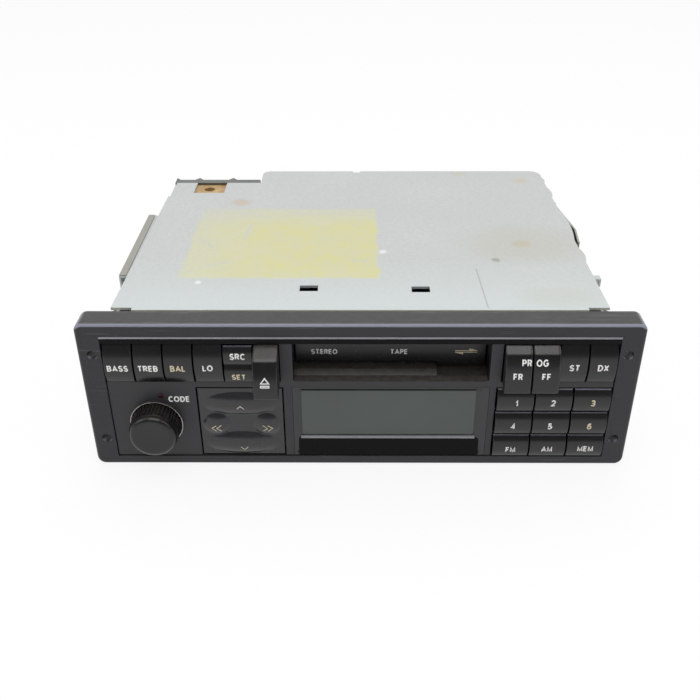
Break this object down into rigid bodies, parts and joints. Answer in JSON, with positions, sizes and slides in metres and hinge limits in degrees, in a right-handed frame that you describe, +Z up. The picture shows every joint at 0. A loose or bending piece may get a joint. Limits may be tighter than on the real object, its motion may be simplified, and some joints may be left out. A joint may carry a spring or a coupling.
{
  "type": "car cassette radio",
  "caption": "Slot-in car cassette radio with black keyed front, ribbed volume knob, display, cassette slot with a swinging flap, and a galvanised steel case holding the tape deck",
  "frame": {"origin": "under the middle of the radio's box, on its lowest plane", "axes": "X to the right seen from the front, Y into the dashboard, Z up"},
  "size_m": [0.188, 0.1704, 0.058],
  "materials": {
    "trim_plastic": "fine grain, scuffed",
    "panel_plastic": "satin",
    "pad_plastic": "satin",
    "key_plastic": "semi-gloss",
    "knob_plastic": "semi-gloss, ribbed",
    "display_plastic": "gloss",
    "display_glass": "grey-green display behind glass",
    "lamp_red": "clear red",
    "mat_rubber": "matt",
    "board_green": "lacquered",
    "board_brown": "bare paper board",
    "carrier_plastic": "natural",
    "throat_plastic": "satin",
    "case_steel": "galvanised, stained",
    "spring_steel": "dull",
    "sink_aluminium": "as extruded",
    "tin_plate": "tinned",
    "socket_plastic": "satin",
    "plated_metal": "zinc plated",
    "deck_steel": "plated",
    "white_plastic": "natural",
    "turned_brass": "turned",
    "black_rubber": "matt",
    "head_metal": "polished"
  },
  "bodies": {
    "case": {"trim_frame": "trim_plastic", "front_panel": "panel_plastic", "front_carrier": "carrier_plastic", "display_bezel": "display_plastic", "lcd_module": "display_glass", "code_lamp": "lamp_red", "key_mat": "mat_rubber", "key_board": "board_green", "slot_throat": "throat_plastic", "chassis_shell": "case_steel", "top_cover": "case_steel", "bottom_cover": "case_steel", "heat_sink": "sink_aluminium", "amp_board": "board_brown", "main_board": "board_green", "tuner_can": "tin_plate", "rear_sockets": "socket_plastic", "antenna_socket": "plated_metal", "rear_stud": "plated_metal", "case_screws": "plated_metal", "deck_plate": "deck_steel", "drive_motor": "tin_plate", "drive_belt": "black_rubber"},
    "bass_key": {"bass_key": "key_plastic"},
    "treble_key": {"treble_key": "key_plastic"},
    "balance_key": {"balance_key": "key_plastic"},
    "local_key": {"local_key": "key_plastic"},
    "station_key": {"station_key": "key_plastic"},
    "network_key": {"network_key": "key_plastic"},
    "band_key": {"band_key": "key_plastic"},
    "traffic_key": {"traffic_key": "key_plastic"},
    "store_key": {"store_key": "key_plastic"},
    "preset_key_4": {"preset_key_4": "key_plastic"},
    "preset_key_5": {"preset_key_5": "key_plastic"},
    "preset_key_6": {"preset_key_6": "key_plastic"},
    "preset_key_1": {"preset_key_1": "key_plastic"},
    "preset_key_2": {"preset_key_2": "key_plastic"},
    "preset_key_3": {"preset_key_3": "key_plastic"},
    "source_rocker": {"source_rocker": "key_plastic"},
    "eject_key": {"eject_key": "key_plastic"},
    "rewind_key": {"rewind_key": "key_plastic"},
    "forward_key": {"forward_key": "key_plastic"},
    "nav_yoke": {"nav_yoke": "white_plastic"},
    "nav_pad": {"nav_pad": "pad_plastic"},
    "volume": {"volume_knob": "knob_plastic", "volume_shaft": "plated_metal"},
    "slot_flap": {"slot_flap": "throat_plastic"},
    "left_latch": {"left_latch": "spring_steel"},
    "right_latch": {"right_latch": "spring_steel"},
    "cassette_lift": {"cassette_lift": "deck_steel"},
    "head_carriage": {"head_slide": "deck_steel", "tape_head": "head_metal"},
    "front_roller": {"front_roller": "black_rubber"},
    "rear_roller": {"rear_roller": "black_rubber"},
    "motor_pulley": {"motor_pulley": "turned_brass"},
    "front_flywheel": {"front_flywheel": "turned_brass"},
    "rear_flywheel": {"rear_flywheel": "turned_brass"},
    "idler_wheel": {"idler_wheel": "black_rubber"},
    "front_reel": {"front_reel": "white_plastic"},
    "rear_reel": {"rear_reel": "white_plastic"}
  },
  "joints": [
    {"name": "bass_key_press", "type": "slide", "parent": "case", "child": "bass_key", "axis": [0, 1, 0], "range_m": [0, 0.001], "stiffness_N_per_m": 300},
    {"name": "treble_key_press", "type": "slide", "parent": "case", "child": "treble_key", "axis": [0, 1, 0], "range_m": [0, 0.001], "stiffness_N_per_m": 300},
    {"name": "balance_key_press", "type": "slide", "parent": "case", "child": "balance_key", "axis": [0, 1, 0], "range_m": [0, 0.001], "stiffness_N_per_m": 300},
    {"name": "local_key_press", "type": "slide", "parent": "case", "child": "local_key", "axis": [0, 1, 0], "range_m": [0, 0.001], "stiffness_N_per_m": 300},
    {"name": "station_key_press", "type": "slide", "parent": "case", "child": "station_key", "axis": [0, 1, 0], "range_m": [0, 0.001], "stiffness_N_per_m": 300},
    {"name": "network_key_press", "type": "slide", "parent": "case", "child": "network_key", "axis": [0, 1, 0], "range_m": [0, 0.001], "stiffness_N_per_m": 300},
    {"name": "band_key_press", "type": "slide", "parent": "case", "child": "band_key", "axis": [0, 1, 0], "range_m": [0, 0.001], "stiffness_N_per_m": 300},
    {"name": "traffic_key_press", "type": "slide", "parent": "case", "child": "traffic_key", "axis": [0, 1, 0], "range_m": [0, 0.001], "stiffness_N_per_m": 300},
    {"name": "store_key_press", "type": "slide", "parent": "case", "child": "store_key", "axis": [0, 1, 0], "range_m": [0, 0.001], "stiffness_N_per_m": 300},
    {"name": "preset_key_4_press", "type": "slide", "parent": "case", "child": "preset_key_4", "axis": [0, 1, 0], "range_m": [0, 0.001], "stiffness_N_per_m": 300},
    {"name": "preset_key_5_press", "type": "slide", "parent": "case", "child": "preset_key_5", "axis": [0, 1, 0], "range_m": [0, 0.001], "stiffness_N_per_m": 300},
    {"name": "preset_key_6_press", "type": "slide", "parent": "case", "child": "preset_key_6", "axis": [0, 1, 0], "range_m": [0, 0.001], "stiffness_N_per_m": 300},
    {"name": "preset_key_1_press", "type": "slide", "parent": "case", "child": "preset_key_1", "axis": [0, 1, 0], "range_m": [0, 0.001], "stiffness_N_per_m": 300},
    {"name": "preset_key_2_press", "type": "slide", "parent": "case", "child": "preset_key_2", "axis": [0, 1, 0], "range_m": [0, 0.001], "stiffness_N_per_m": 300},
    {"name": "preset_key_3_press", "type": "slide", "parent": "case", "child": "preset_key_3", "axis": [0, 1, 0], "range_m": [0, 0.001], "stiffness_N_per_m": 300},
    {"name": "source_rocker_tilt", "type": "hinge", "parent": "case", "child": "source_rocker", "pos_m": [-0.04057, -0.07065, 0.04297], "axis": [1, 0, 0], "range_deg": [-4, 4], "stiffness_Nm_per_rad": 0.05},
    {"name": "eject_press", "type": "slide", "parent": "case", "child": "eject_key", "axis": [0, 1, 0], "range_m": [0, 0.005], "stiffness_N_per_m": 200},
    {"name": "rewind_press", "type": "slide", "parent": "case", "child": "rewind_key", "axis": [0, 1, 0], "range_m": [0, 0.003], "stiffness_N_per_m": 200},
    {"name": "forward_press", "type": "slide", "parent": "case", "child": "forward_key", "axis": [0, 1, 0], "range_m": [0, 0.003], "stiffness_N_per_m": 200},
    {"name": "nav_left_right", "type": "hinge", "parent": "case", "child": "nav_yoke", "pos_m": [-0.041, -0.07025, 0.0186], "axis": [0, 0, 1], "range_deg": [-3, 3], "stiffness_Nm_per_rad": 0.05},
    {"name": "nav_up_down", "type": "hinge", "parent": "nav_yoke", "child": "nav_pad", "pos_m": [-0.041, -0.07025, 0.0186], "axis": [1, 0, 0], "range_deg": [-3, 3], "stiffness_Nm_per_rad": 0.05},
    {"name": "volume_turn", "type": "hinge", "parent": "case", "child": "volume", "pos_m": [-0.0709, -0.07625, 0.0177], "axis": [0, 1, 0], "range_deg": [-150, 150]},
    {"name": "flap_swing", "type": "hinge", "parent": "case", "child": "slot_flap", "pos_m": [0.0106, -0.06565, 0.04915], "axis": [1, 0, 0], "range_deg": [0, 88], "stiffness_Nm_per_rad": 0.01},
    {"name": "left_latch_flex", "type": "hinge", "parent": "case", "child": "left_latch", "pos_m": [-0.08445, 0.02275, 0.0315], "axis": [0, 0, 1], "range_deg": [0, 2.5], "stiffness_Nm_per_rad": 5},
    {"name": "right_latch_flex", "type": "hinge", "parent": "case", "child": "right_latch", "pos_m": [0.08445, 0.03625, 0.03685], "axis": [0, 0, 1], "range_deg": [-2.5, 0], "stiffness_Nm_per_rad": 5},
    {"name": "lift_drop", "type": "slide", "parent": "case", "child": "cassette_lift", "axis": [0, 0, 1], "range_m": [-0.006, 0], "stiffness_N_per_m": 300, "springref_m": 0.003},
    {"name": "head_advance", "type": "slide", "parent": "case", "child": "head_carriage", "axis": [-1, 0, 0], "range_m": [0, 0.009]},
    {"name": "front_roller_spin", "type": "hinge", "parent": "head_carriage", "child": "front_roller", "pos_m": [0.0482, -0.04285, 0.036], "axis": [0, 0, 1], "continuous": true},
    {"name": "rear_roller_spin", "type": "hinge", "parent": "head_carriage", "child": "rear_roller", "pos_m": [0.0482, 0.02315, 0.036], "axis": [0, 0, 1], "continuous": true},
    {"name": "motor_pulley_spin", "type": "hinge", "parent": "case", "child": "motor_pulley", "pos_m": [-0.0399, 0.02315, 0.0217], "axis": [0, 0, 1], "continuous": true},
    {"name": "front_flywheel_spin", "type": "hinge", "parent": "case", "child": "front_flywheel", "pos_m": [0.033, -0.04285, 0.0217], "axis": [0, 0, 1], "continuous": true},
    {"name": "rear_flywheel_spin", "type": "hinge", "parent": "case", "child": "rear_flywheel", "pos_m": [0.033, 0.02315, 0.0217], "axis": [0, 0, 1], "continuous": true},
    {"name": "idler_wheel_spin", "type": "hinge", "parent": "case", "child": "idler_wheel", "pos_m": [0.02231, -0.03783, 0.02575], "axis": [0, 0, 1], "continuous": true},
    {"name": "front_reel_spin", "type": "hinge", "parent": "case", "child": "front_reel", "pos_m": [0.008, -0.0311, 0.0297], "axis": [0, 0, 1], "continuous": true},
    {"name": "rear_reel_spin", "type": "hinge", "parent": "case", "child": "rear_reel", "pos_m": [0.008, 0.0114, 0.0297], "axis": [0, 0, 1], "continuous": true}
  ],
  "couplings": [
    {"joint": "front_flywheel_spin", "follows": "motor_pulley_spin", "ratio": 0.27374},
    {"joint": "rear_flywheel_spin", "follows": "motor_pulley_spin", "ratio": 0.27374},
    {"joint": "idler_wheel_spin", "follows": "motor_pulley_spin", "ratio": -0.29744},
    {"joint": "front_reel_spin", "follows": "motor_pulley_spin", "ratio": 0.16586},
    {"joint": "head_advance", "follows": "lift_drop", "ratio": -1.5}
  ]
}
